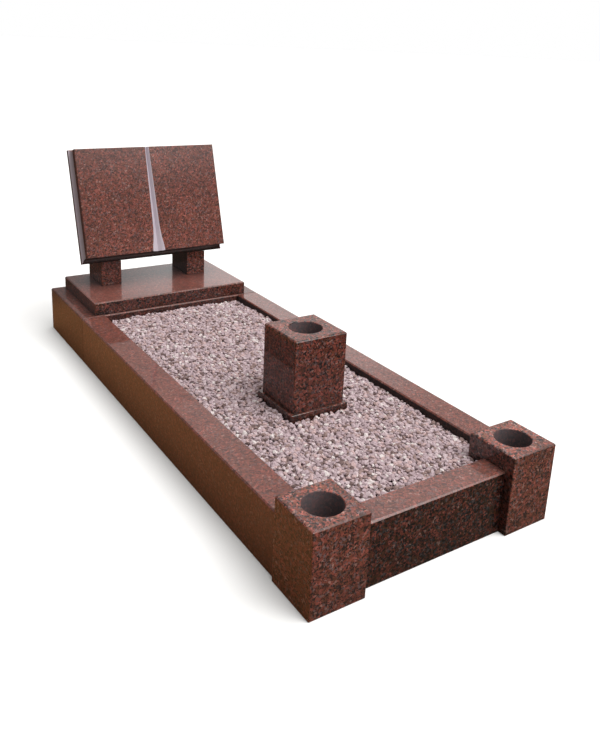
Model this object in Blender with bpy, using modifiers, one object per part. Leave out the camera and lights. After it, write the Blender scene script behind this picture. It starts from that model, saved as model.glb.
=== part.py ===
# Book headstone with kerbs: an open granite book on two pillars and a base, at the head of a
# kerb set with two corner vase posts, a bed of chippings and a vase block standing in it.
# Metres, +Z up, +Y from the foot to the head, +X to the right seen from the foot.
# The origin is at ground level, in the middle of the set's length and width.

import math
import random

import bmesh
import bpy
from mathutils import Vector

# Kerb set
SET_WIDTH = 0.762            # across the outer faces of the side kerbs
SET_LENGTH = 1.981           # face of the foot kerb to the back of the head slab
KERB_HEIGHT = 0.178
SIDE_KERB_WIDTH = 0.092
FOOT_KERB_WIDTH = 0.080
HEAD_SLAB_DEPTH = 0.419

# Corner vase posts at the foot
POST_SIZE = 0.158            # square in plan
POST_HEIGHT = 0.229
POST_SIDE_STEP = 0.008       # how far a post stands out past the side kerb's face
POST_FRONT_STEP = 0.024      # how far it stands out past the foot kerb's face

# Vase block in the middle of the bed, on its plate
VASE_WIDTH = 0.180
VASE_DEPTH = 0.176
VASE_HEIGHT = 0.225
VASE_FROM_FOOT = 0.6115      # face of the foot kerb to the block's centre
PLATE_MARGIN = 0.010
PLATE_THICKNESS = 0.040
PLATE_ABOVE_KERB = 0.003

# Flower holes in the posts and the vase block
BORE_RADIUS = 0.050
BORE_DEPTH = 0.150
BORE_MOUTH_BEVEL = 0.002
BORE_SIDES = 48

# Base and pillars on the head slab
BASE_WIDTH = 0.654
BASE_DEPTH = 0.390
BASE_HEIGHT = 0.050
BASE_SETBACK = 0.010         # head slab's front edge to the base's front
PILLAR_WIDTH = 0.084
PILLAR_DEPTH = 0.160
PILLAR_HEIGHT = 0.101        # base to the front edge of the book's seat
PILLAR_SPACING = 0.380       # between the two pillars' centres
PILLAR_SETBACK = 0.196       # base's front to the pillars' front
REST_RISE = 0.120            # how far the pillars run up the book's back

# Book
BOOK_LEAN = math.radians(17.0)
PAGE_WIDTH = 0.606           # both pages
PAGE_HEIGHT = 0.436
PAGE_DEPTH = 0.058           # page face to the front of the cover's edge
COVER_THICKNESS = 0.018
COVER_SIDE_LIP = 0.008       # how far the cover stands out past the pages
COVER_TOP_LIP = 0.005
COVER_BOTTOM_LIP = 0.020
PAGE_EDGE_FLAT = 0.026       # depth of the flat edge of the pages, before the hollow
EDGE_QUIRK = 0.003           # small step in, where the hollow starts
HOLLOW_STEPS = 5
BOOK_ARRIS = 0.0015

# Gutter between the pages, which opens out at the foot of the book
GUTTER_DEPTH = 0.014
GUTTER_HALF_TOP = 0.009
GUTTER_HALF_LOW = 0.017      # half width where the flare starts
GUTTER_HALF_FOOT = 0.032
GUTTER_FLARE_SHARE = 0.28    # share of the page height that the flare takes
GUTTER_STATIONS = 12
GUTTER_SIDE_STEPS = 5

# Chippings
CHIPPINGS_DROP_HEAD = 0.014  # bed below the top of the kerbs, along them, at the head
CHIPPINGS_DROP_FOOT = 0.024
CHIPPINGS_CROWN = 0.008      # the bed's middle lies this much higher than its sides
CHIPPINGS_RELIEF = 0.004     # height of the lumps above and below the bed's level
CHIPPINGS_CELL = 0.030

ARRIS = 0.004                # polished bevel on the top edges
SIDE_ARRIS_SHARE = 0.4       # upright edges have a finer one
GAP = 0.0003                 # joint between pieces that touch
MERGE = 0.0001
CUT_OVERRUN = 0.02           # how far a cutter runs past the piece it cuts

# Places that follow from the sizes
POST_FRONT_Y = -(SET_LENGTH + POST_FRONT_STEP) / 2
FOOT_FACE_Y = POST_FRONT_Y + POST_FRONT_STEP
HEAD_BACK_Y = FOOT_FACE_Y + SET_LENGTH
HEAD_FRONT_Y = HEAD_BACK_Y - HEAD_SLAB_DEPTH
POST_BACK_Y = POST_FRONT_Y + POST_SIZE
POST_CENTRE_X = SET_WIDTH / 2 + POST_SIDE_STEP - POST_SIZE / 2
SIDE_KERB_X = (SET_WIDTH - SIDE_KERB_WIDTH) / 2
BED_HALF_WIDTH = SET_WIDTH / 2 - SIDE_KERB_WIDTH
BED_FOOT_Y = FOOT_FACE_Y + FOOT_KERB_WIDTH
VASE_Y = FOOT_FACE_Y + VASE_FROM_FOOT
PLATE_TOP = KERB_HEIGHT + PLATE_ABOVE_KERB
BASE_BOTTOM = KERB_HEIGHT + GAP
BASE_FRONT_Y = HEAD_FRONT_Y + BASE_SETBACK
PILLAR_BOTTOM = BASE_BOTTOM + BASE_HEIGHT + GAP
PILLAR_FRONT_Y = BASE_FRONT_Y + PILLAR_SETBACK
SEAT_Z = PILLAR_BOTTOM + PILLAR_HEIGHT


def clear_scene():
    for ob in list(bpy.data.objects):
        bpy.data.objects.remove(ob, do_unlink=True)


def new_collection(name):
    made = bpy.data.collections.new(name)
    bpy.context.scene.collection.children.link(made)
    return made


def new_material(name, colour, roughness):
    made = bpy.data.materials.new(name)
    made.use_nodes = True
    shader = made.node_tree.nodes["Principled BSDF"]
    shader.inputs["Base Color"].default_value = (*colour, 1.0)
    shader.inputs["Roughness"].default_value = roughness
    shader.inputs["Metallic"].default_value = 0.0
    return made


def add_object(name, mesh, place, collection, parent=None, material=None):
    ob = bpy.data.objects.new(name, mesh)
    ob.location = place
    ob.parent = parent
    if material:
        mesh.materials.append(material)
    collection.objects.link(ob)
    return ob


# A block stands on z = 0 of its own frame, centred in plan.
def block_mesh(name, width, depth, height):
    bm = bmesh.new()
    bmesh.ops.create_cube(bm, size=1.0)
    for vert in bm.verts:
        vert.co = (vert.co.x * width, vert.co.y * depth, (vert.co.z + 0.5) * height)
    mesh = bpy.data.meshes.new(name)
    bm.to_mesh(mesh)
    bm.free()
    return mesh


# Bevels an object's edges. share_of says for an edge's two ends how much of the arris it gets.
def add_arris(ob, share_of):
    mesh = ob.data
    weights = mesh.attributes.new("bevel_weight_edge", "FLOAT", "EDGE")
    for edge in mesh.edges:
        ends = [mesh.vertices[i].co for i in edge.vertices]
        weights.data[edge.index].value = share_of(*ends)
    bevel = ob.modifiers.new("arris", "BEVEL")
    bevel.limit_method = "WEIGHT"
    bevel.offset_type = "OFFSET"
    bevel.width = ARRIS
    bevel.segments = 1


def is_upright(a, b):
    return (a - b).xy.length < MERGE


def is_top(a, b):
    return abs(a.z - b.z) < MERGE and a.z > MERGE


def runs_along_y(a, b):
    return abs(a.y - b.y) > MERGE


def all_round(a, b):
    if is_upright(a, b):
        return SIDE_ARRIS_SHARE
    return 1.0 if is_top(a, b) else 0.0


def along_y(a, b):
    return 1.0 if is_top(a, b) and runs_along_y(a, b) else 0.0


def along_x(a, b):
    return 1.0 if is_top(a, b) and not runs_along_y(a, b) else 0.0


def uprights(a, b):
    return SIDE_ARRIS_SHARE if is_upright(a, b) else 0.0


def add_cut(ob, cutter):
    cutter.hide_render = True
    cutter.display_type = "WIRE"
    cut = ob.modifiers.new(cutter.name, "BOOLEAN")
    cut.operation = "DIFFERENCE"
    cut.solver = "EXACT"
    cut.object = cutter


# A loft through sections that all have the same number of points, closed at both ends.
def loft_mesh(name, sections):
    bm = bmesh.new()
    rings = [[bm.verts.new(point) for point in section] for section in sections]
    count = len(rings[0])
    for near, far in zip(rings, rings[1:]):
        for i in range(count):
            j = (i + 1) % count
            bm.faces.new((near[i], near[j], far[j], far[i]))
    bm.faces.new(list(reversed(rings[0])))
    bm.faces.new(rings[-1])
    bmesh.ops.recalc_face_normals(bm, faces=bm.faces)
    mesh = bpy.data.meshes.new(name)
    bm.to_mesh(mesh)
    bm.free()
    return mesh


# The bore's cutter is a turned profile, from above the mouth down to the floor of the hole.
def bore_cutter(name, place, collection):
    wide = BORE_RADIUS + BORE_MOUTH_BEVEL
    profile = [
        (0.0, CUT_OVERRUN),
        (wide, CUT_OVERRUN),
        (wide, 0.0),
        (BORE_RADIUS, -BORE_MOUTH_BEVEL),
        (BORE_RADIUS, -BORE_DEPTH),
        (0.0, -BORE_DEPTH),
    ]
    mesh = bpy.data.meshes.new(name)
    mesh.from_pydata([(x, 0.0, z) for x, z in profile], [(i, i + 1) for i in range(len(profile) - 1)], [])
    cutter = add_object(name, mesh, place, collection)
    screw = cutter.modifiers.new("turned", "SCREW")
    screw.axis = "Z"
    screw.steps = BORE_SIDES
    screw.render_steps = BORE_SIDES
    screw.use_merge_vertices = True
    screw.merge_threshold = MERGE
    return cutter


def make_kerbs(parts, granite, parent):
    length = HEAD_FRONT_Y - POST_BACK_Y - 2 * GAP
    middle_y = (HEAD_FRONT_Y + POST_BACK_Y) / 2
    for name, side in (("kerb_left", -1), ("kerb_right", 1)):
        mesh = block_mesh(name, SIDE_KERB_WIDTH, length, KERB_HEIGHT)
        kerb = add_object(name, mesh, (side * SIDE_KERB_X, middle_y, 0.0), parts, parent, granite)
        add_arris(kerb, along_y)
    between_posts = 2 * (POST_CENTRE_X - POST_SIZE / 2 - GAP)
    mesh = block_mesh("kerb_foot", between_posts, FOOT_KERB_WIDTH, KERB_HEIGHT)
    foot = add_object("kerb_foot", mesh, (0.0, FOOT_FACE_Y + FOOT_KERB_WIDTH / 2, 0.0), parts, parent, granite)
    add_arris(foot, along_x)
    mesh = block_mesh("head_slab", SET_WIDTH, HEAD_SLAB_DEPTH, KERB_HEIGHT)
    slab = add_object("head_slab", mesh, (0.0, HEAD_BACK_Y - HEAD_SLAB_DEPTH / 2, 0.0), parts, parent, granite)
    add_arris(slab, all_round)


def make_posts(parts, cutters, granite, parent):
    for name, side in (("vase_post_left", -1), ("vase_post_right", 1)):
        place = Vector((side * POST_CENTRE_X, POST_FRONT_Y + POST_SIZE / 2, 0.0))
        mesh = block_mesh(name, POST_SIZE, POST_SIZE, POST_HEIGHT)
        post = add_object(name, mesh, place, parts, parent, granite)
        add_arris(post, all_round)
        mouth = place + Vector((0.0, 0.0, POST_HEIGHT))
        add_cut(post, bore_cutter(name + "_bore", mouth, cutters))


def make_vase(parts, cutters, granite, parent):
    plate_width = VASE_WIDTH + 2 * PLATE_MARGIN
    plate_depth = VASE_DEPTH + 2 * PLATE_MARGIN
    mesh = block_mesh("vase_plate", plate_width, plate_depth, PLATE_THICKNESS)
    plate = add_object("vase_plate", mesh, (0.0, VASE_Y, PLATE_TOP - PLATE_THICKNESS), parts, parent, granite)
    add_arris(plate, lambda a, b: SIDE_ARRIS_SHARE * all_round(a, b))
    mesh = block_mesh("vase_block", VASE_WIDTH, VASE_DEPTH, VASE_HEIGHT)
    vase = add_object("vase_block", mesh, (0.0, VASE_Y, PLATE_TOP + GAP), parts, parent, granite)
    add_arris(vase, all_round)
    add_cut(vase, bore_cutter("vase_bore", (0.0, VASE_Y, PLATE_TOP + GAP + VASE_HEIGHT), cutters))


def bed_level(x, y):
    along = (y - BED_FOOT_Y) / (HEAD_FRONT_Y - BED_FOOT_Y)
    drop = CHIPPINGS_DROP_FOOT + (CHIPPINGS_DROP_HEAD - CHIPPINGS_DROP_FOOT) * along
    return KERB_HEIGHT - drop + CHIPPINGS_CROWN * (1.0 - (x / BED_HALF_WIDTH) ** 4)


# The bed fills the kerbs down to the ground. Its top is a grid with a small random height at
# each point, and the posts' inner corners and the vase plate are cut out of it.
def make_chippings(parts, cutters, stone, parent):
    chance = random.Random(11)
    low = Vector((-BED_HALF_WIDTH + GAP, BED_FOOT_Y + GAP))
    high = Vector((BED_HALF_WIDTH - GAP, HEAD_FRONT_Y - GAP))
    across = max(2, round((high.x - low.x) / CHIPPINGS_CELL))
    along = max(2, round((high.y - low.y) / CHIPPINGS_CELL))
    bm = bmesh.new()
    bmesh.ops.create_grid(bm, x_segments=across, y_segments=along, size=0.5)
    centre = (low + high) / 2
    for vert in bm.verts:
        x = (high.x - low.x) * vert.co.x
        y = (high.y - low.y) * vert.co.y
        lump = CHIPPINGS_RELIEF * chance.uniform(-1.0, 1.0)
        vert.co = (x, y, bed_level(x, centre.y + y) + lump)
    rim = [edge for edge in bm.edges if edge.is_boundary]
    skirt = bmesh.ops.extrude_edge_only(bm, edges=rim)["geom"]
    for vert in (item for item in skirt if isinstance(item, bmesh.types.BMVert)):
        vert.co.z = 0.0
    bmesh.ops.contextual_create(bm, geom=[edge for edge in bm.edges if edge.is_boundary])
    bmesh.ops.triangulate(bm, faces=[face for face in bm.faces if len(face.verts) == 4])
    bmesh.ops.recalc_face_normals(bm, faces=bm.faces)
    mesh = bpy.data.meshes.new("chippings")
    bm.to_mesh(mesh)
    bm.free()
    bed = add_object("chippings", mesh, (centre.x, centre.y, 0.0), parts, parent, stone)

    notch = POST_SIZE + 2 * GAP
    for side in (-1, 1):
        mesh = block_mesh("post_room", notch, notch, POST_HEIGHT + 2 * CUT_OVERRUN)
        place = (side * POST_CENTRE_X, POST_FRONT_Y + POST_SIZE / 2, -CUT_OVERRUN)
        add_cut(bed, add_object(f"post_room_{side:+d}", mesh, place, cutters))
    mesh = block_mesh(
        "plate_room",
        VASE_WIDTH + 2 * (PLATE_MARGIN + GAP),
        VASE_DEPTH + 2 * (PLATE_MARGIN + GAP),
        PLATE_THICKNESS + CUT_OVERRUN,
    )
    place = (0.0, VASE_Y, PLATE_TOP - PLATE_THICKNESS - GAP)
    add_cut(bed, add_object("plate_room", mesh, place, cutters))


def make_base(parts, granite, parent):
    mesh = block_mesh("base", BASE_WIDTH, BASE_DEPTH, BASE_HEIGHT)
    base = add_object("base", mesh, (0.0, BASE_FRONT_Y + BASE_DEPTH / 2, BASE_BOTTOM), parts, parent, granite)
    add_arris(base, all_round)


# Side view of a pillar, y from its front face and z from its foot: a seat square to the book
# under the cover's edge, then a rest along the book's back, cut off level.
def pillar_outline():
    back_way = Vector((math.cos(BOOK_LEAN), -math.sin(BOOK_LEAN)))
    up_way = Vector((math.sin(BOOK_LEAN), math.cos(BOOK_LEAN)))
    seat_front = Vector((0.0, PILLAR_HEIGHT - GAP))
    seat_back = seat_front + back_way * (COVER_THICKNESS + GAP)
    rest_top = seat_back + up_way * REST_RISE
    return [
        Vector((0.0, 0.0)),
        seat_front,
        seat_back,
        rest_top,
        Vector((PILLAR_DEPTH, rest_top.y)),
        Vector((PILLAR_DEPTH, 0.0)),
    ]


def make_pillars(parts, granite, parent):
    outline = pillar_outline()
    for name, side in (("pillar_left", -1), ("pillar_right", 1)):
        sections = [[(x, y, z) for y, z in outline] for x in (-PILLAR_WIDTH / 2, PILLAR_WIDTH / 2)]
        mesh = loft_mesh(name, sections)
        place = (side * PILLAR_SPACING / 2, PILLAR_FRONT_Y, PILLAR_BOTTOM)
        add_arris(add_object(name, mesh, place, parts, parent, granite), uprights)


# The book's edge as (depth behind the page face, step out at the sides, top and bottom): flat
# edge of the pages, a quirk, a hollow that sweeps out to the cover, and the cover's own edge.
def edge_profile():
    lips = Vector((COVER_SIDE_LIP, COVER_TOP_LIP, COVER_BOTTOM_LIP))
    quirk = Vector((-EDGE_QUIRK,) * 3)
    flush = Vector((0.0, 0.0, 0.0))
    arris = Vector((-BOOK_ARRIS,) * 3)
    profile = [(0.0, arris), (BOOK_ARRIS, flush), (PAGE_EDGE_FLAT, flush)]
    for step in range(HOLLOW_STEPS + 1):
        turn = math.pi / 2 * step / HOLLOW_STEPS
        depth = PAGE_EDGE_FLAT + EDGE_QUIRK + (PAGE_DEPTH - PAGE_EDGE_FLAT - EDGE_QUIRK) * math.sin(turn)
        profile.append((depth, quirk + (lips - quirk) * (1.0 - math.cos(turn))))
    back = PAGE_DEPTH + COVER_THICKNESS
    profile.append((back - BOOK_ARRIS, lips))
    profile.append((back, lips + arris))
    return profile


def gutter_half_width(share):
    half = GUTTER_HALF_LOW + (GUTTER_HALF_TOP - GUTTER_HALF_LOW) * share
    flare = max(0.0, 1.0 - share / GUTTER_FLARE_SHARE)
    return half + (GUTTER_HALF_FOOT - GUTTER_HALF_LOW) * flare**2


# Section of the gutter at one height: two pages that roll over into a sharp valley.
def gutter_section(z, half):
    face = -PAGE_DEPTH
    points = [(-half, face - CUT_OVERRUN, z), (half, face - CUT_OVERRUN, z)]
    for step in range(GUTTER_SIDE_STEPS, -GUTTER_SIDE_STEPS - 1, -1):
        share = step / GUTTER_SIDE_STEPS
        points.append((half * share, face - GAP + GUTTER_DEPTH * (1.0 - math.sin(math.pi / 2 * abs(share))), z))
    return points


# The book's own frame has its origin under the cover's front edge, y runs back through the
# book and z runs up the page.
def make_book(parts, cutters, granite, parent):
    page_foot = COVER_BOTTOM_LIP
    page_head = page_foot + PAGE_HEIGHT
    rings = []
    for depth, (side, top, bottom) in edge_profile():
        y = depth - PAGE_DEPTH
        half = PAGE_WIDTH / 2 + side
        rings.append([(-half, y, page_foot - bottom), (half, y, page_foot - bottom),
                      (half, y, page_head + top), (-half, y, page_head + top)])
    place = (0.0, PILLAR_FRONT_Y, SEAT_Z)
    book = add_object("book", loft_mesh("book", rings), place, parts, parent, granite)
    book.rotation_euler.x = -BOOK_LEAN

    sections = []
    for station in range(GUTTER_STATIONS + 1):
        share = station / GUTTER_STATIONS
        z = page_foot - CUT_OVERRUN + (PAGE_HEIGHT + 2 * CUT_OVERRUN) * share
        sections.append(gutter_section(z, gutter_half_width(min(1.0, max(0.0, (z - page_foot) / PAGE_HEIGHT)))))
    gutter = add_object("gutter", loft_mesh("gutter", sections), place, cutters)
    gutter.rotation_euler.x = -BOOK_LEAN
    add_cut(book, gutter)


def main():
    clear_scene()
    parts = new_collection("book_headstone_with_kerbs")
    cutters = new_collection("cutters")
    parent = bpy.data.objects.new("kerb_set", None)
    parts.objects.link(parent)
    granite = new_material("polished_red_granite", (0.116, 0.055, 0.045), 0.12)
    book_granite = new_material("polished_red_granite_book", (0.180, 0.078, 0.066), 0.12)
    stone = new_material("pink_granite_chippings", (0.360, 0.250, 0.260), 0.85)
    make_kerbs(parts, granite, parent)
    make_posts(parts, cutters, granite, parent)
    make_vase(parts, cutters, granite, parent)
    make_chippings(parts, cutters, stone, parent)
    make_base(parts, granite, parent)
    make_pillars(parts, granite, parent)
    make_book(parts, cutters, book_granite, parent)


main()
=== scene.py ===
import math

import bmesh
import bpy
import numpy as np
from mathutils import Matrix, Vector
from mathutils.bvhtree import BVHTree


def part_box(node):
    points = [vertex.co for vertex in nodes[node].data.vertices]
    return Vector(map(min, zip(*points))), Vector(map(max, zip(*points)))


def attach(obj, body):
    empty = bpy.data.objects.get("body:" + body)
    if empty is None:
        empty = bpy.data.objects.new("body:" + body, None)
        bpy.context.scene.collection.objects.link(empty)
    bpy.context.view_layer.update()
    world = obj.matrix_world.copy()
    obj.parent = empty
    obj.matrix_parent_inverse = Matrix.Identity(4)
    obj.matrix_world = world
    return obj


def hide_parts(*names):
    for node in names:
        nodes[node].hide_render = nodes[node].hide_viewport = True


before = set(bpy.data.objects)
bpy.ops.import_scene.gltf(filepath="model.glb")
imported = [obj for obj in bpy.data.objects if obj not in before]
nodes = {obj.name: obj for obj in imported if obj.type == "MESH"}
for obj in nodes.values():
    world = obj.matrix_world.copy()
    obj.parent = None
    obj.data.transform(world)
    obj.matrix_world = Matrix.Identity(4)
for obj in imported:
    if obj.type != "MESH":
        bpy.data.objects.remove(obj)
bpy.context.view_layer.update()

# Book headstone with kerbs, dressed for a studio picture.
# Metres, Z up, Y from the foot to the head, X to the right seen from the foot.


# Small tools

noiseReach = {"From Min": 0.3, "From Max": 0.7}  # a noise texture hardly leaves this range


def hexToLinear(code):
    channels = [int(code[i:i + 2], 16) / 255 for i in (1, 3, 5)]
    linear = [c / 12.92 if c <= 0.04045 else ((c + 0.055) / 1.055) ** 2.4 for c in channels]
    return (*linear, 1.0)


def perMetre(sizeMm):  # a texture's scale for a pattern with cells of this size
    return 1000 / sizeMm


def wayTo(heading, rise):  # from +Y towards +X, and up from the level, in radians
    level = math.cos(rise)
    return Vector((math.sin(heading) * level, math.cos(heading) * level, math.sin(rise)))


# adds a node, sets its properties and feeds its sockets with values or other nodes' outputs
def addNode(tree, kind, feeds=None, stops=None, **settings):
    node = tree.nodes.new(kind)
    for key, value in settings.items():
        setattr(node, key, value)
    for key, value in (feeds or {}).items():
        if isinstance(value, bpy.types.NodeSocket):
            tree.links.new(value, node.inputs[key])
        else:
            node.inputs[key].default_value = value
    if stops:
        elements = node.color_ramp.elements
        while len(elements) < len(stops):
            elements.new(1.0)
        for element, (place, colour) in zip(elements, stops):
            element.position = place
            element.color = colour
    return node


def newMaterial(name):
    material = bpy.data.materials.new(name)
    material.use_nodes = True
    tree = material.node_tree
    tree.nodes.clear()
    shader = addNode(tree, "ShaderNodeBsdfPrincipled")
    addNode(tree, "ShaderNodeOutputMaterial", {"Surface": shader.outputs["BSDF"]})
    return material, tree, shader


def dressPiece(piece, slotName, *replaced):
    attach(piece, "root")
    if replaced:
        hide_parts(*replaced)


# Camera, at the photograph's angle

photoView = {
    "spot": (-1.1982, -2.1203, 1.2145),
    "headingDeg": 33.656,       # from +Y towards +X
    "pitchDeg": 15.941,         # downwards
    "rollDeg": 2.610,
    "lensMm": 36.37,
    "pictureMm": 36.0,          # long side of the picture
    "pictureRows": 750,
    "axisRow": 262,             # row of the picture that the lens looks straight at
}


def addCamera(view):
    heading, pitch, roll = (math.radians(view[key]) for key in ("headingDeg", "pitchDeg", "rollDeg"))
    ahead = wayTo(heading, -pitch)
    level = ahead.cross(Vector((0, 0, 1))).normalized()
    right = math.cos(roll) * level + math.sin(roll) * level.cross(ahead)
    up = right.cross(ahead)
    lens = bpy.data.cameras.new("photoCamera")
    lens.sensor_fit = "VERTICAL"
    lens.sensor_height = view["pictureMm"]
    lens.lens = view["lensMm"]
    lens.shift_y = (view["axisRow"] - view["pictureRows"] / 2) / view["pictureRows"]
    camera = bpy.data.objects.new("photoCamera", lens)
    turn = Matrix((right, up, -ahead)).transposed().to_4x4()
    camera.matrix_world = Matrix.Translation(view["spot"]) @ turn
    bpy.context.scene.collection.objects.link(camera)
    bpy.context.scene.camera = camera


addCamera(photoView)
print("camera set")


# Granite, sawn and mirror polished: red and brown feldspar, smoky quartz and small black mica
# under a gloss that mirrors what stands on it, with a faint haze from crystals that polish less well

granite = {
    "minerals": (               # share of the crystals up to here, and their colour
        (0.00, "#35241f"),      # dark hornblende
        (0.16, "#6b4030"),      # brown feldspar
        (0.40, "#7f4337"),      # red feldspar
        (0.66, "#945348"),      # bright red feldspar
        (0.82, "#6a5250"),      # smoky quartz
        (0.955, "#946e64"),     # pale feldspar
    ),
    "mica": "#2c1f1e",
    "micaShare": 0.20,
    "crystalMm": 5.8,
    "crystalShade": (0.62, 1.3),    # darkest and lightest crystal of one mineral
    "micaMm": 2.6,
    "cloudMm": 90.0,            # broad lighter and darker patches of the rock
    "cloudRange": (0.84, 1.14),
    "bodyRoughness": 0.45,      # the haze
    "bodyGloss": 0.14,
    "polish": 0.80,             # the mirror coat
    "polishRoughness": 0.03,
    "ior": 1.54,
    "cornerMm": 150.0,          # painted shade: corners nearer than this to other stone are painted darker
    "cornerShade": (0.15, 0.95),    # open share of what is round: darkest at the first, clear at the second
    "paintedShadeDarkest": 0.45,
    "meanColour": "#7a463c",
}
finishes = {                    # faces that aren't polished: colour, its share, shade and roughness
    "honed": ("#cdc4cd", 0.92, 1.0, 0.62),  # ground: white dust from each crystal's rim
    "cored": ("#a2979c", 0.45, 0.9, 0.70),  # inside of a drilled bore
    "sawnShaded": ("#2a2322", 0.55, 0.55, 0.85),  # the kerbs' faces to the bed: saw marks, and painted shade that darkens them
    "rubbed": ("#7a5c54", 0.25, 0.95, 0.60),  # bevels rubbed down by hand, duller than the faces
}


def graniteMaterial(name, look, shift, finish="polished", tone=1.0, grain=1.0, haze=None, polish=None):
    material, tree, shader = newMaterial(name)
    place = addNode(tree, "ShaderNodeTexCoord").outputs["Object"]
    place = addNode(tree, "ShaderNodeVectorMath", {0: place, 1: shift}, operation="ADD").outputs[0]
    bend = addNode(tree, "ShaderNodeTexNoise", {
        "Vector": place, "Scale": perMetre(look["crystalMm"]), "Detail": 2.0, "Roughness": 0.6,
    }).outputs["Color"]
    bend = addNode(tree, "ShaderNodeVectorMath", {
        0: bend, 1: (0.5, 0.5, 0.5),  # so that it bends both ways
    }, operation="SUBTRACT").outputs[0]
    bent = addNode(tree, "ShaderNodeVectorMath", {
        0: bend, 1: (look["crystalMm"] / 1000,) * 3, 2: place,
    }, operation="MULTIPLY_ADD").outputs[0]
    crystals = addNode(tree, "ShaderNodeTexVoronoi", {"Vector": bent, "Scale": perMetre(look["crystalMm"])})
    crystal = addNode(tree, "ShaderNodeSeparateColor", {"Color": crystals.outputs["Color"]})
    mineral = addNode(tree, "ShaderNodeValToRGB", {"Fac": crystal.outputs["Red"]},
                      stops=[(share, hexToLinear(code)) for share, code in look["minerals"]])
    mineral.color_ramp.interpolation = "CONSTANT"
    dark, light = look["crystalShade"]
    shade = addNode(tree, "ShaderNodeMapRange", {
        "Value": crystal.outputs["Green"], "To Min": dark, "To Max": light,
    })
    clouds = addNode(tree, "ShaderNodeTexNoise", {
        "Vector": place, "Scale": perMetre(look["cloudMm"]), "Detail": 3.0,
    })
    dark, light = look["cloudRange"]
    clouds = addNode(tree, "ShaderNodeMapRange", {
        "Value": clouds.outputs["Fac"], **noiseReach, "To Min": dark * tone, "To Max": light * tone,
    })
    shade = addNode(tree, "ShaderNodeMath", {0: shade.outputs[0], 1: clouds.outputs[0]}, operation="MULTIPLY")
    stone = addNode(tree, "ShaderNodeVectorMath", {
        0: mineral.outputs["Color"], "Scale": shade.outputs[0],
    }, operation="SCALE").outputs[0]
    flakes = addNode(tree, "ShaderNodeTexVoronoi", {"Vector": bent, "Scale": perMetre(look["micaMm"])})
    flake = addNode(tree, "ShaderNodeSeparateColor", {"Color": flakes.outputs["Color"]})
    isMica = addNode(tree, "ShaderNodeMath", {
        0: flake.outputs["Blue"], 1: look["micaShare"],
    }, operation="LESS_THAN").outputs[0]
    stone = addNode(tree, "ShaderNodeMix", {
        "Factor": isMica, "A": stone, "B": hexToLinear(look["mica"]),
    }, data_type="RGBA").outputs["Result"]
    mean = [channel * tone for channel in hexToLinear(look["meanColour"])[:3]]
    stone = addNode(tree, "ShaderNodeMix", {
        "Factor": grain, "A": (*mean, 1.0), "B": stone,
    }, data_type="RGBA", clamp_factor=False, clamp_result=True).outputs["Result"]
    if finish != "polished":
        colour, share, dull, rough = finishes[finish]
        stone = addNode(tree, "ShaderNodeMix", {
            "Factor": share, "A": stone, "B": hexToLinear(colour),
        }, data_type="RGBA").outputs["Result"]
        stone = addNode(tree, "ShaderNodeVectorMath", {0: stone, "Scale": dull}, operation="SCALE").outputs[0]
    # painted shade: the base colour darkens where other stone is near, in corners and under overhangs
    if finish != "honed":
        paintedCornerShade = addNode(tree, "ShaderNodeAmbientOcclusion", {"Distance": look["cornerMm"] / 1000}, samples=8)
        shut, clear = look["cornerShade"]
        paintedCornerShade = addNode(tree, "ShaderNodeMapRange", {
            "Value": paintedCornerShade.outputs["AO"], "From Min": shut, "From Max": clear, "To Min": look["paintedShadeDarkest"],
        })
        stone = addNode(tree, "ShaderNodeVectorMath", {
            0: stone, "Scale": paintedCornerShade.outputs[0],
        }, operation="SCALE").outputs[0]
    tree.links.new(stone, shader.inputs["Base Color"])
    shader.inputs["IOR"].default_value = look["ior"]
    if finish == "polished":
        shader.inputs["Roughness"].default_value = look["bodyRoughness"]
        shader.inputs["Specular IOR Level"].default_value = haze or look["bodyGloss"]
        shader.inputs["Coat Weight"].default_value = polish or look["polish"]
        shader.inputs["Coat Roughness"].default_value = look["polishRoughness"]
        shader.inputs["Coat IOR"].default_value = look["ior"]
    else:
        shader.inputs["Roughness"].default_value = rough
    return material


# Each block is its solid with the sharp edges eased, as a mason leaves them

block = {
    "easeMm": 0.7,
    "easeSteps": 2,
    "sharpDeg": 35.0,           # edges that turn more than this are eased
    "weldMm": 0.02,
    "flatDeg": 0.5,             # faces that turn less than this become one
    "flatWeight": 100,          # large faces keep their shading straight
    "rockStep": (1.7, 0.9, 2.3),    # metres through the rock from one block to the next
    "facing": 0.9,              # a face looks along a way from this cosine on
}
blockLooks = {  # tone, share of the grain that shows, haze, polish: the tone is its own slab's and painted light and shade
    "kerb_left": (0.92, 0.62, 0.22),
    "kerb_right": (1.0, 0.62, 0.14),
    "kerb_foot": (1.05, 0.7, 0.5),
    "head_slab": (0.72, 0.7, 0.12),
    "base": (1.05, 0.55, 0.54),
    "pillar_left": (1.2, 1.0, 0.14),
    "pillar_right": (1.4, 1.0, 0.14),
    "book": (1.04, 0.82, 0.14),
    "vase_block": (0.98, 1.05, 0.14, 0.35),
    "vase_plate": (0.7, 1.0, 0.14),
    "vase_post_left": (1.2, 1.0, 0.2),
    "vase_post_right": (1.3, 1.0, 0.2),
}
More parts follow.
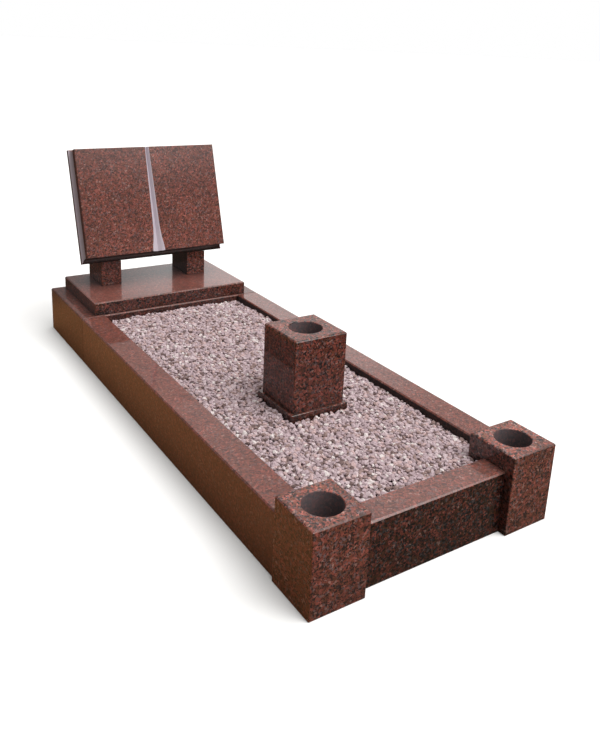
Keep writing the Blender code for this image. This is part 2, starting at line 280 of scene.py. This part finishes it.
# faces unlike the rest of their block: the way they look, then finish, tone and grain. Those to the bed are
# sawn and darkened with painted shade, the front arrises are rubbed, and a few sides are painted darker as
# shade
otherFaces = {
    "kerb_left": (((1, 0), "sawnShaded", 1.0, 1.0),),
    "kerb_right": (((-1, 0), "sawnShaded", 1.0, 1.0),),
    "head_slab": (((0, -1), "polished", 0.65, 1.0), ((0, -1, 1), "rubbed", 1.0, 1.0)),
    "kerb_foot": (((0, 1), "sawnShaded", 1.0, 1.0), ((0, -1), "polished", 0.5, 1.6)),
    "base": (
        ((0, -1), "polished", 0.8, 1.1), ((-1, 0), "polished", 0.7, 1.1), ((0, -1, 1), "rubbed", 1.0, 1.0),
    ),
    "pillar_right": (((-1, 0), "polished", 0.4, 1.0),),
    "vase_post_left": (((0, -1, 1), "rubbed", 1.0, 1.0),),
    "vase_post_right": (((-1, 0), "polished", 0.9, 1.0), ((0, -1, 1), "rubbed", 1.0, 1.0)),
}
boredBlocks = ("vase_post_left", "vase_post_right", "vase_block")
plainBlocks = (
    "head_slab", "kerb_left", "kerb_right", "kerb_foot", "vase_plate", "base", "pillar_left", "pillar_right",
)
bore = {
    "reachMm": 52.5,            # from its axis, a little more than its radius
    "aboveFootMm": 10.0,
    "underRimMm": 3.0,
}


def easedCopy(nodeName, pieceName, materials):
    bm = bmesh.new()
    bm.from_mesh(nodes[nodeName].data)
    bmesh.ops.remove_doubles(bm, verts=bm.verts, dist=block["weldMm"] / 1000)
    bmesh.ops.dissolve_limit(bm, verts=bm.verts, edges=bm.edges, angle_limit=math.radians(block["flatDeg"]))
    for face in bm.faces:
        face.smooth = True
    mesh = bpy.data.meshes.new(pieceName)
    bm.to_mesh(mesh)
    bm.free()
    for material in materials:
        mesh.materials.append(material)
    piece = bpy.data.objects.new(pieceName, mesh)
    bpy.context.scene.collection.objects.link(piece)
    ease = piece.modifiers.new("easedEdges", "BEVEL")
    ease.width = block["easeMm"] / 1000
    ease.segments = block["easeSteps"]
    ease.limit_method = "ANGLE"
    ease.angle_limit = math.radians(block["sharpDeg"])
    flats = piece.modifiers.new("flatFaces", "WEIGHTED_NORMAL")
    flats.weight = block["flatWeight"]
    return piece


def blockShift(nodeName):  # a different part of the rock for each block
    order = sorted(nodes).index(nodeName)
    return tuple(step * order for step in block["rockStep"])


# each of the others is a test for the faces that have it, then its finish, tone and grain
def makeBlock(nodeName, slotName, *others):
    shift = blockShift(nodeName)
    name = "polishedRedGranite_" + nodeName
    materials = [graniteMaterial(name, granite, shift, "polished", *blockLooks[nodeName])]
    for order, (_, *look) in enumerate(others):
        materials.append(graniteMaterial(f"{look[0]}RedGranite_{nodeName}_{order}", granite, shift, *look))
    piece = easedCopy(nodeName, "stone_" + nodeName, materials)
    for face in piece.data.polygons:
        for order, (wanted, *_) in enumerate(others):
            if wanted(face):
                face.material_index = order + 1
    dressPiece(piece, slotName, nodeName)


def insideBore(nodeName):
    low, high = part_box(nodeName)
    middle = (low + high) / 2
    bottom = low.z + bore["aboveFootMm"] / 1000
    top = high.z - bore["underRimMm"] / 1000

    def wanted(face):
        nearAxis = (face.center.xy - middle.xy).length < bore["reachMm"] / 1000
        return nearAxis and bottom < face.center.z < top

    return wanted


def towards(x, y, z=0):
    way = Vector((x, y, z)).normalized()
    return lambda face: face.normal.dot(way) > block["facing"]


def sidesOf(nodeName):
    return [(towards(*side), *look) for side, *look in otherFaces.get(nodeName, ())]


for nodeName in plainBlocks:
    makeBlock(nodeName, "granite", *sidesOf(nodeName))
print("plain blocks polished")
for nodeName in boredBlocks:
    makeBlock(nodeName, "granite", *sidesOf(nodeName), (insideBore(nodeName), "cored"))
print("bored blocks polished")


# Book: pages polished, the gutter and the hollow under the cover's edge honed pale

book = {
    "leanDeg": 17.0,
    "gutterDepthMm": (0.05, 14.5),  # behind the page face
    "gutterHalfMm": 34.0,
    "gutterFacing": 0.1,        # its faces look the way the pages do by more than this
    "hollowMm": (28.5, 58.5),   # and this too
    "hollowSideways": 0.2,      # its faces look to a side by more than this
    "underMost": (0.05, 0.6, 0.2),  # the lower end looks sideways, back and up by less than this
    "underShadeTone": 0.22,          # painted shade, as a share of the granite's own tone
}


def paleOnBook(look):
    lean = math.radians(look["leanDeg"])
    facing = Vector((0, -math.cos(lean), math.sin(lean)))
    pageFace = max(vert.co.dot(facing) for vert in nodes["book"].data.vertices)
    gutterFrom, gutterTo = look["gutterDepthMm"]
    hollowFrom, hollowTo = look["hollowMm"]

    def wanted(face):
        depth = (pageFace - face.center.dot(facing)) * 1000
        inGutter = gutterFrom < depth < gutterTo and abs(face.center.x) * 1000 < look["gutterHalfMm"]
        inHollow = hollowFrom < depth < hollowTo and abs(face.normal.x) > look["hollowSideways"]
        return (inGutter and face.normal.dot(facing) > look["gutterFacing"]) or inHollow

    return wanted


# the pages' lower end and the cover's rim under it, which see only the dark base: toned dark as painted shade
def underBook(look):
    sideways, back, up = look["underMost"]
    return lambda face: abs(face.normal.x) < sideways and face.normal.y < back and face.normal.z < up


underShadeLook = (underBook(book), "polished", book["underShadeTone"])
makeBlock("book", "granite_book", underShadeLook, (paleOnBook(book), "honed"))
print("book made")


# Chippings: crushed pink granite, freshly broken faces, dull and pale, packed with small dark gaps

chippings = {
    "pitchMm": 11.2,
    "scatter": 0.45,            # how far a stone lies from its place, in pitches
    "halfMm": (6.6, 11.0),      # half the length of a stone
    "smallMore": (2.0, 2.6),    # beta distribution between them, with rather more small ones
    "width": (0.66, 0.95),      # and its width and height as shares of that
    "height": (0.44, 0.70),
    "chipped": (0.74, 1.12),    # where each of its corners broke, from deep in to standing out
    "tiltDeg": 30.0,
    "layers": (                 # name, seed, depth of the stones' middles under the CAD's surface
        ("chippingsTop", 3, (1.5, 5.5)),
        ("chippingsMiddle", 8, (6.0, 9.0)),
        ("chippingsUnder", 15, (10.0, 13.0)),
    ),
    "headSinkMm": 13.0,         # how much lower they lie at the head slab
    "headSinkPower": 3,         # and how soon that ends away from it
    "bedSinkMm": 18.0,          # the dark bed under them, below the CAD's surface
    "stoneSteps": (             # share of the stones up to here, and their colour
        (0.00, "#6b5653"),
        (0.06, "#917974"),
        (0.16, "#a48f92"),
        (0.40, "#b09b9f"),
        (0.62, "#b89d9b"),
        (0.76, "#bfacae"),
        (0.92, "#cfc4c1"),
    ),
    "grainMm": 2.5,
    "grainShade": (0.78, 1.15),
    "grainBump": 0.5,
    "grainBumpMm": 0.6,
    "gapShadeColour": "#2a1f1d",     # painted shade: the dark seen in the gaps between the stones
    "bedGrainMm": 4.0,
    "bedShade": (0.5, 1.5),
    "roughness": 0.88,
    "ior": 1.5,
    "kerbClearMm": 0.4,
}


def chippingsMaterial(look):
    material, tree, shader = newMaterial("crushedPinkGranite")
    place = addNode(tree, "ShaderNodeTexCoord").outputs["Object"]
    tint = addNode(tree, "ShaderNodeAttribute", attribute_name="stoneTint").outputs["Fac"]
    colour = addNode(tree, "ShaderNodeValToRGB", {"Fac": tint},
                     stops=[(share, hexToLinear(code)) for share, code in look["stoneSteps"]])
    colour.color_ramp.interpolation = "CONSTANT"
    grain = addNode(tree, "ShaderNodeTexNoise", {
        "Vector": place, "Scale": perMetre(look["grainMm"]), "Detail": 3.0, "Roughness": 0.7,
    }).outputs["Fac"]
    dark, light = look["grainShade"]
    shade = addNode(tree, "ShaderNodeMapRange", {
        "Value": grain, **noiseReach, "To Min": dark, "To Max": light,
    }).outputs[0]
    colour = addNode(tree, "ShaderNodeVectorMath", {
        0: colour.outputs["Color"], "Scale": shade,
    }, operation="SCALE")
    relief = addNode(tree, "ShaderNodeBump", {
        "Height": grain, "Strength": look["grainBump"], "Distance": look["grainBumpMm"] / 1000,
    })
    tree.links.new(colour.outputs[0], shader.inputs["Base Color"])
    tree.links.new(relief.outputs["Normal"], shader.inputs["Normal"])
    shader.inputs["Roughness"].default_value = look["roughness"]
    shader.inputs["IOR"].default_value = look["ior"]
    return material


# painted shade: a dark bed under the stones stands for the shade in the gaps between them
def bedMaterial(look):
    material, tree, shader = newMaterial("gapShadeUnderChippings")
    place = addNode(tree, "ShaderNodeTexCoord").outputs["Object"]
    grain = addNode(tree, "ShaderNodeTexNoise", {
        "Vector": place, "Scale": perMetre(look["bedGrainMm"]), "Detail": 4.0,
    }).outputs["Fac"]
    dark, light = look["bedShade"]
    shade = addNode(tree, "ShaderNodeMapRange", {"Value": grain, "To Min": dark, "To Max": light}).outputs[0]
    colour = addNode(tree, "ShaderNodeVectorMath", {
        0: hexToLinear(look["gapShadeColour"])[:3], "Scale": shade,
    }, operation="SCALE")
    tree.links.new(colour.outputs[0], shader.inputs["Base Color"])
    shader.inputs["Roughness"].default_value = look["roughness"]
    return material


# an icosphere's points and triangles: the form that every chipping is broken out of
def stoneForm():
    bm = bmesh.new()
    bmesh.ops.create_icosphere(bm, subdivisions=1, radius=1.0)
    points = np.array([vert.co for vert in bm.verts])
    triangles = np.array([[vert.index for vert in face.verts] for face in bm.faces])
    bm.free()
    return points, triangles


# a stone tilts a little in both ways and lies at any heading
def stoneTurns(chance, count, tiltDeg):
    def spin(angle, first, second):
        turn = np.tile(np.eye(3), (count, 1, 1))
        turn[:, first, first] = turn[:, second, second] = np.cos(angle)
        turn[:, first, second] = -np.sin(angle)
        turn[:, second, first] = np.sin(angle)
        return turn

    tilt = math.radians(tiltDeg)
    lean = spin(chance.uniform(-tilt, tilt, count), 1, 2) @ spin(chance.uniform(-tilt, tilt, count), 0, 2)
    return spin(chance.uniform(0, 2 * math.pi, count), 0, 1) @ lean


def stoneCentres(look, chance, depths):
    low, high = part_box("chippings")
    bedMesh = nodes["chippings"].data
    bedMesh.calc_loop_triangles()
    bed = BVHTree.FromPolygons([v.co for v in bedMesh.vertices], [t.vertices for t in bedMesh.loop_triangles])
    blocks = [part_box(name) for name in ("vase_plate", "vase_post_left", "vase_post_right")]
    clear = look["halfMm"][0] / 1000
    pitch = look["pitchMm"] / 1000
    scatter = look["scatter"]

    def taken(x, y):
        return any(a.x - clear < x < b.x + clear and a.y - clear < y < b.y + clear for a, b in blocks)

    centres = []
    for y in np.arange(low.y + pitch / 2, high.y, pitch):
        for x in np.arange(low.x + pitch / 2, high.x, pitch):
            shiftX = chance.uniform(-scatter, scatter)
            shiftY = chance.uniform(-scatter, scatter)
            deep = chance.uniform(*depths)
            spot = Vector((x + shiftX * pitch, y + shiftY * pitch, 1.0))  # above everything
            hit = None if taken(spot.x, spot.y) else bed.ray_cast(spot, Vector((0, 0, -1)))[0]
            if hit:
                deep += look["headSinkMm"] * max(0.0, spot.y / high.y) ** look["headSinkPower"]
                centres.append((spot.x, spot.y, hit.z - deep / 1000))
    return np.array(centres)


def addChippings(look, name, seed, depths, material):
    chance = np.random.default_rng(seed)
    centres = stoneCentres(look, chance, depths)
    count = len(centres)
    points, triangles = stoneForm()
    shortest, longest = (size / 1000 for size in look["halfMm"])
    half = shortest + (longest - shortest) * chance.beta(*look["smallMore"], count)
    width = chance.uniform(*look["width"], count)
    height = chance.uniform(*look["height"], count)
    shape = np.stack([np.ones(count), width, height], 1)
    chips = chance.uniform(*look["chipped"], (count, len(points), 1))
    stones = points[None] * chips * (shape * half[:, None])[:, None]
    stones = np.einsum("nij,nkj->nki", stoneTurns(chance, count, look["tiltDeg"]), stones) + centres[:, None]
    low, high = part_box("chippings")
    edge = look["kerbClearMm"] / 1000
    stones[..., 0] = np.clip(stones[..., 0], low.x + edge, high.x - edge)
    stones[..., 1] = np.clip(stones[..., 1], low.y + edge, high.y - edge)
    faces = (triangles[None] + (np.arange(count) * len(points))[:, None, None]).reshape(-1, 3)
    mesh = bpy.data.meshes.new(name)
    mesh.from_pydata(stones.reshape(-1, 3), [], faces)
    tint = mesh.attributes.new("stoneTint", "FLOAT", "POINT")
    tint.data.foreach_set("value", np.repeat(chance.uniform(0, 1, count), len(points)))
    mesh.materials.append(material)
    piece = bpy.data.objects.new(name, mesh)
    bpy.context.scene.collection.objects.link(piece)
    dressPiece(piece, "chippings")
    print(name, count, "stones", len(faces), "triangles")


def addBed(look):
    mesh = nodes["chippings"].data.copy()
    sink = look["bedSinkMm"] / 1000
    for vert in mesh.vertices:
        if vert.co.z > sink:
            vert.co.z -= sink
    mesh.materials.clear()
    mesh.materials.append(bedMaterial(look))
    piece = bpy.data.objects.new("chippingsBed", mesh)
    bpy.context.scene.collection.objects.link(piece)
    dressPiece(piece, "chippings", "chippings")


addBed(chippings)
stoneFinish = chippingsMaterial(chippings)
for layer in chippings["layers"]:
    addChippings(chippings, *layer, stoneFinish)
print("chippings laid")


# Studio: a matt pale floor, a plain sky with a few soft bright parts for the polish to mirror, and one wide
# soft sun from above, a little to the front and the right

studio = {
    "floorSize": 400.0,
    "floorDropMm": 1.0,             # under the stone's underside
    "floorColour": "#f6f5f3",
    "floorInGloss": "#66564b",      # what the stone sees of the floor
    "leftInGloss": "#9e6e47",       # tan on the left
    "leftFade": (-0.360, -0.385),   # from here to there
    "backInGloss": "#3a332e",       # and dark behind the head
    "backFade": (1.2, 1.6),
    "floorBounce": 0.25,            # share of that which lights the stone
    "skyLow": 0.07,                 # radiance at the horizon
    "skyRise": 0.45,                # and how much more of it straight above
    "glows": (                      # bright parts of the room: heading from +Y towards +X, height,
        (33.0, 14.0, 3.0, 17.0, 0.80),      # full within, gone past, all in degrees, and radiance
        (150.0, 42.0, 15.0, 23.0, 2.3),
        (40.0, 30.0, 5.0, 28.0, 0.32),
    ),
    "sunWay": (0.20, -0.31, 0.93),
    "sunStrength": 2.9,
    "sunWidthDeg": 50.0,
}


def addSun(look):
    light = bpy.data.lights.new("softSun", "SUN")
    light.energy = look["sunStrength"]
    light.angle = math.radians(look["sunWidthDeg"])
    sun = bpy.data.objects.new("softSun", light)
    sun.rotation_euler = Vector(look["sunWay"]).to_track_quat("Z", "Y").to_euler()
    bpy.context.scene.collection.objects.link(sun)


def addFloor(look):
    depth = look["floorDropMm"] / 1000
    bpy.ops.mesh.primitive_plane_add(size=look["floorSize"], location=(0, 0, -depth))
    floor = bpy.context.object
    floor.name = "floor"
    material, tree, shader = newMaterial("paleStudioFloor")
    path = addNode(tree, "ShaderNodeLightPath")
    place = addNode(tree, "ShaderNodeTexCoord").outputs["Object"]
    place = addNode(tree, "ShaderNodeSeparateXYZ", {0: place}).outputs
    behind = addNode(tree, "ShaderNodeMapRange", {
        "Value": place["Y"], "From Min": look["backFade"][0], "From Max": look["backFade"][1],
    }).outputs[0]
    left = addNode(tree, "ShaderNodeMapRange", {
        "Value": place["X"], "From Min": look["leftFade"][0], "From Max": look["leftFade"][1],
    }).outputs[0]
    dull = addNode(tree, "ShaderNodeMix", {
        "Factor": left, "A": hexToLinear(look["floorInGloss"]), "B": hexToLinear(look["leftInGloss"]),
    }, data_type="RGBA").outputs["Result"]
    dull = addNode(tree, "ShaderNodeMix", {
        "Factor": behind, "A": dull, "B": hexToLinear(look["backInGloss"]),
    }, data_type="RGBA").outputs["Result"]
    bounce = addNode(tree, "ShaderNodeMapRange", {
        "Value": path.outputs["Is Diffuse Ray"], "To Min": 1.0, "To Max": look["floorBounce"],
    }).outputs[0]
    dull = addNode(tree, "ShaderNodeVectorMath", {0: dull, "Scale": bounce}, operation="SCALE").outputs[0]
    colour = addNode(tree, "ShaderNodeMix", {
        "Factor": path.outputs["Is Camera Ray"], "A": dull, "B": hexToLinear(look["floorColour"]),
    }, data_type="RGBA")
    tree.links.new(colour.outputs["Result"], shader.inputs["Base Color"])
    shader.inputs["Roughness"].default_value = 1.0
    shader.inputs["Specular IOR Level"].default_value = 0.0
    floor.data.materials.append(material)


def addSky(look):
    world = bpy.data.worlds.new("studioSky")
    world.use_nodes = True
    tree = world.node_tree
    tree.nodes.clear()
    toSky = addNode(tree, "ShaderNodeTexCoord").outputs["Generated"]
    height = addNode(tree, "ShaderNodeSeparateXYZ", {0: toSky}).outputs["Z"]
    light = addNode(tree, "ShaderNodeMapRange", {
        "Value": height, "To Min": look["skyLow"], "To Max": look["skyLow"] + look["skyRise"],
    }).outputs[0]
    for heading, rise, full, gone, radiance in look["glows"]:
        heading, rise, full, gone = (math.radians(angle) for angle in (heading, rise, full, gone))
        near = addNode(tree, "ShaderNodeVectorMath", {
            0: toSky, 1: wayTo(heading, rise),
        }, operation="DOT_PRODUCT").outputs["Value"]
        glow = addNode(tree, "ShaderNodeMapRange", {
            "Value": near, "From Min": math.cos(gone), "From Max": math.cos(full), "To Max": radiance,
        }, interpolation_type="SMOOTHSTEP").outputs[0]
        light = addNode(tree, "ShaderNodeMath", {0: light, 1: glow}, operation="ADD").outputs[0]
    path = addNode(tree, "ShaderNodeLightPath")
    seen = addNode(tree, "ShaderNodeMix", {
        "Factor": path.outputs["Is Camera Ray"], "A": light, "B": 1.0,
    }, data_type="FLOAT").outputs["Result"]
    sky = addNode(tree, "ShaderNodeBackground", {"Color": (1, 1, 1, 1), "Strength": seen})
    addNode(tree, "ShaderNodeOutputWorld", {"Surface": sky.outputs[0]})
    bpy.context.scene.world = world
    bpy.context.scene.view_settings.view_transform = "Standard"


addSun(studio)
addFloor(studio)
addSky(studio)
print("studio lit")
